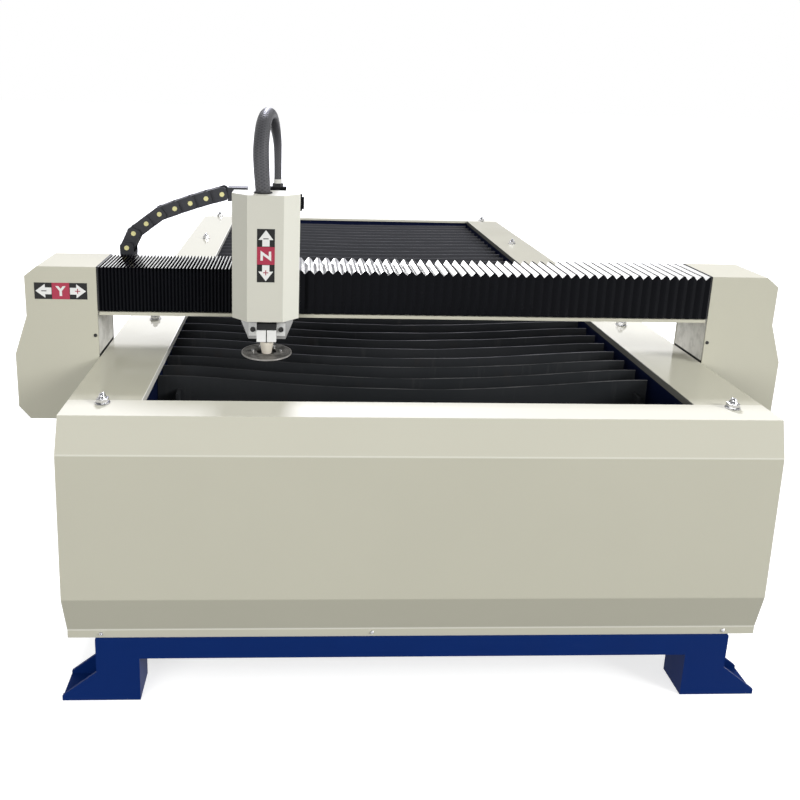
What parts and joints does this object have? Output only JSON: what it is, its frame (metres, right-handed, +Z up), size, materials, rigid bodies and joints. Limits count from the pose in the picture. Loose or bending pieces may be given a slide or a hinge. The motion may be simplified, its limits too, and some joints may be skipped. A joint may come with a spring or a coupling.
{
  "type": "gantry plasma cutting table",
  "caption": "Floor-standing plasma cutting table: a slatted bed in a folded sheet case, and a gantry with a carriage that lifts a torch over it.",
  "frame": {"origin": "on the floor, under the middle of the table", "axes": "+Z up, +Y along the table from the front panel to the back, +X to the right as seen from the front"},
  "size_m": [2.402, 3.266, 1.5838],
  "materials": {
    "cream_paint": "satin powder coat",
    "blue_paint": "gloss enamel",
    "beam_paint": "satin",
    "slat_steel": "mill scale",
    "bright_steel": "ground",
    "rack_steel": "oiled",
    "plate_steel": "milled",
    "plate_aluminium": "satin",
    "chrome_nuts": "polished",
    "black_screws": "blackened",
    "motor_black": "satin",
    "black_sheet": "satin",
    "bellows_cloth": "coated cloth, slight sheen",
    "chain_plastic": "satin",
    "cap_plastic": "satin",
    "black_rubber": "matt",
    "black_nylon": "satin",
    "pale_collar": "satin",
    "lead_sleeve": "braided",
    "nut_brass": "turned",
    "torch_black": "satin",
    "cup_ceramic": "satin",
    "ring_steel": "turned"
  },
  "bodies": {
    "table": {"feet": "blue_paint", "base_tubes": "blue_paint", "frame_posts": "blue_paint", "side_beams": "blue_paint", "front_panel": "cream_paint", "rear_panel": "cream_paint", "side_cover_right": "cream_paint", "side_cover_left": "cream_paint", "side_aprons": "cream_paint", "slag_tray": "blue_paint", "slat_combs": "slat_steel", "slats": "slat_steel", "table_rails": "bright_steel", "table_racks": "rack_steel", "cap_nuts": "chrome_nuts"},
    "gantry": {"beam": "beam_paint", "gantry_plates": "plate_steel", "leg_cover_right": "cream_paint", "leg_cover_left": "cream_paint", "leg_bearings": "bright_steel", "leg_motors": "motor_black", "beam_rails": "bright_steel", "beam_rack": "rack_steel", "bellows_plates": "black_sheet", "bellows_strip": "cream_paint", "bellows_left": "bellows_cloth", "bellows_right": "bellows_cloth", "chain_tray": "black_sheet"},
    "pinion_right": {"pinion_right": "rack_steel"},
    "pinion_left": {"pinion_left": "rack_steel"},
    "carriage": {"carriage_plate": "plate_aluminium", "carriage_bearings": "bright_steel", "bellows_frames": "black_sheet", "motor_shelf": "plate_aluminium", "cross_motor": "motor_black", "torch_cover": "cream_paint", "lift_bracket": "plate_aluminium", "lift_motor": "motor_black", "lift_rails": "bright_steel", "chain_arm": "plate_aluminium", "drag_chain": "chain_plastic", "chain_caps": "cap_plastic", "cover_grommet": "black_rubber", "lead_gland": "black_nylon", "lead_collar": "pale_collar", "torch_lead": "lead_sleeve"},
    "cross_pinion": {"cross_pinion": "rack_steel"},
    "lift_screw": {"lift_screw": "bright_steel"},
    "lifter": {"lift_slide": "plate_aluminium", "lift_bearings": "bright_steel", "lift_nut": "nut_brass", "torch_clamp": "plate_aluminium", "torch_screws": "black_screws", "torch_body": "torch_black", "torch_cup": "cup_ceramic", "torch_nozzle": "nut_brass", "guard_ring": "ring_steel", "ring_hub": "torch_black"}
  },
  "joints": [
    {"name": "gantry_slide", "type": "slide", "parent": "table", "child": "gantry", "axis": [0, 1, 0], "range_m": [-0.2, 2.45]},
    {"name": "carriage_slide", "type": "slide", "parent": "gantry", "child": "carriage", "axis": [1, 0, 0], "range_m": [-0.24, 1.115], "deforming": ["bellows_left", "bellows_right"]},
    {"name": "torch_lift", "type": "slide", "parent": "carriage", "child": "lifter", "axis": [0, 0, 1], "range_m": [-0.035, 0.08]},
    {"name": "pinion_right_spin", "type": "hinge", "parent": "gantry", "child": "pinion_right", "pos_m": [0.93, -1.066, 0.68], "axis": [1, 0, 0], "continuous": true},
    {"name": "pinion_left_spin", "type": "hinge", "parent": "gantry", "child": "pinion_left", "pos_m": [-0.93, -1.066, 0.68], "axis": [1, 0, 0], "continuous": true},
    {"name": "cross_pinion_spin", "type": "hinge", "parent": "carriage", "child": "cross_pinion", "pos_m": [-0.4375, -1.054, 1.07], "axis": [0, 0, 1], "continuous": true},
    {"name": "lift_screw_spin", "type": "hinge", "parent": "carriage", "child": "lift_screw", "pos_m": [-0.4375, -1.1705, 1.1], "axis": [0, 0, 1], "continuous": true}
  ],
  "couplings": [
    {"joint": "pinion_right_spin", "follows": "gantry_slide", "rad_per_m": 25},
    {"joint": "pinion_left_spin", "follows": "gantry_slide", "rad_per_m": 25},
    {"joint": "cross_pinion_spin", "follows": "carriage_slide", "rad_per_m": -25},
    {"joint": "lift_screw_spin", "follows": "torch_lift", "rad_per_m": -1256.6}
  ]
}
